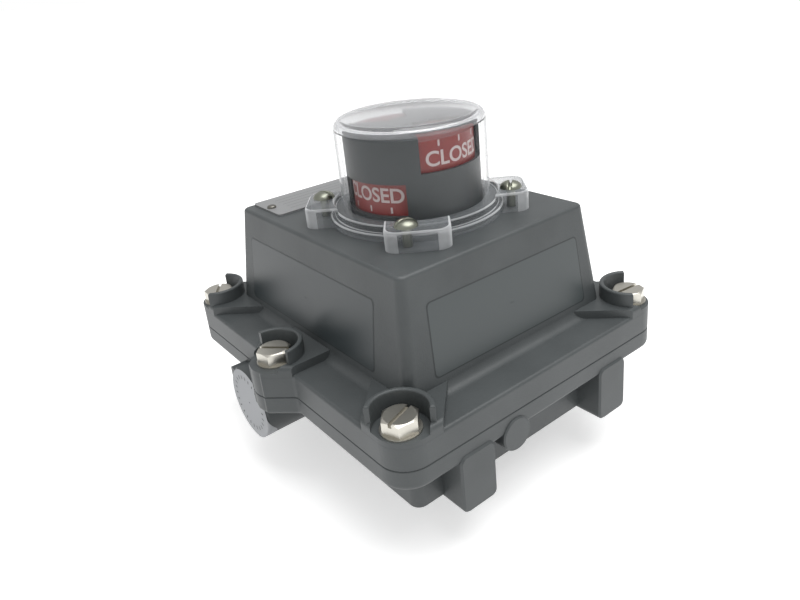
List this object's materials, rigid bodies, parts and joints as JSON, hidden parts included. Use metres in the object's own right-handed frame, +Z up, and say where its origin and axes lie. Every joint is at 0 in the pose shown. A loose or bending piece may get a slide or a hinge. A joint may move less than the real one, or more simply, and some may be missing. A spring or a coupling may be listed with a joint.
{
  "type": "valve limit switch box",
  "caption": "Valve position monitor: cast housing with a bolted flanged cover, a clear domed rotary indicator and a shaft that works two cam switches.",
  "frame": {"origin": "on the shaft axis, at the mounting plane of the four feet", "axes": "+Z up along the shaft towards the indicator dome, -Y towards the front with the cast boss and two feet, -X towards the open conduit entry"},
  "size_m": [0.173, 0.1764, 0.1573],
  "materials": {
    "housing_paint": "matt textured",
    "stainless": "satin",
    "clear": "glossy",
    "black_plastic": "satin",
    "red_band": "glossy",
    "green_band": "glossy",
    "seal_rubber": "matt",
    "bronze": "satin",
    "label_metal": "satin",
    "cam_red": "satin",
    "cam_green": "satin",
    "strip_plastic": "satin",
    "zinc_steel": "bright",
    "wire_jacket": "satin"
  },
  "bodies": {
    "housing_assembly": {"base_housing": "housing_paint", "cover": "housing_paint", "cover_seal": "seal_rubber", "cover_bolts": "stainless", "cover_bolt_washers": "stainless", "dome": "clear", "dome_seal": "seal_rubber", "dome_screws": "stainless", "indicator_mask": "black_plastic", "shaft_bushing": "bronze", "thrust_washer": "bronze", "cover_bushing": "bronze", "switch_closed": "black_plastic", "switch_open": "black_plastic", "switch_spacer": "strip_plastic", "switch_screws": "zinc_steel", "switch_bracket": "zinc_steel", "bracket_screws": "zinc_steel", "terminal_strip": "strip_plastic", "terminal_screws": "zinc_steel", "terminal_mount_screws": "zinc_steel", "earth_screw": "bronze", "earth_washer": "bronze", "switch_wires": "wire_jacket", "blanking_plug": "stainless", "nameplate": "label_metal", "nameplate_rivets": "label_metal"},
    "shaft_line": {"shaft": "stainless", "shaft_seals": "seal_rubber", "shaft_retaining_ring": "zinc_steel", "indicator_shaft": "stainless", "stub_retaining_ring": "zinc_steel", "indicator_rotor": "black_plastic", "closed_bands": "red_band", "open_bands": "green_band", "cam_closed": "cam_red", "cam_open": "cam_green", "cam_hub": "black_plastic", "hub_pin": "zinc_steel", "cam_spring": "zinc_steel"},
    "lever_closed_body": {"lever_closed": "zinc_steel"},
    "lever_open_body": {"lever_open": "zinc_steel"},
    "plunger_closed_body": {"plunger_closed": "cam_red"},
    "plunger_open_body": {"plunger_open": "cam_red"}
  },
  "joints": [
    {"name": "shaft_turn", "type": "hinge", "parent": "housing_assembly", "child": "shaft_line", "pos_m": [0, 0, 0], "axis": [0, 0, 1], "range_deg": [0, 90]},
    {"name": "lever_closed_swing", "type": "hinge", "parent": "housing_assembly", "child": "lever_closed_body", "pos_m": [-0.02, 0.01995, 0], "axis": [0, 0, 1], "range_deg": [-5.8, 0]},
    {"name": "lever_open_swing", "type": "hinge", "parent": "housing_assembly", "child": "lever_open_body", "pos_m": [-0.02, 0.01995, 0], "axis": [0, 0, 1], "range_deg": [0, 5.8]},
    {"name": "plunger_closed_push", "type": "slide", "parent": "housing_assembly", "child": "plunger_closed_body", "axis": [0, 1, 0], "range_m": [-0.00071, 0]},
    {"name": "plunger_open_push", "type": "slide", "parent": "housing_assembly", "child": "plunger_open_body", "axis": [0, 1, 0], "range_m": [0, 0.00071]}
  ],
  "couplings": [
    {"joint": "lever_closed_swing", "follows": "shaft_turn", "ratio": -0.063769},
    {"joint": "lever_open_swing", "follows": "shaft_turn", "ratio": 0.063769},
    {"joint": "plunger_closed_push", "follows": "shaft_turn", "m_per_rad": -0.00044788},
    {"joint": "plunger_open_push", "follows": "shaft_turn", "m_per_rad": 0.00044788}
  ]
}
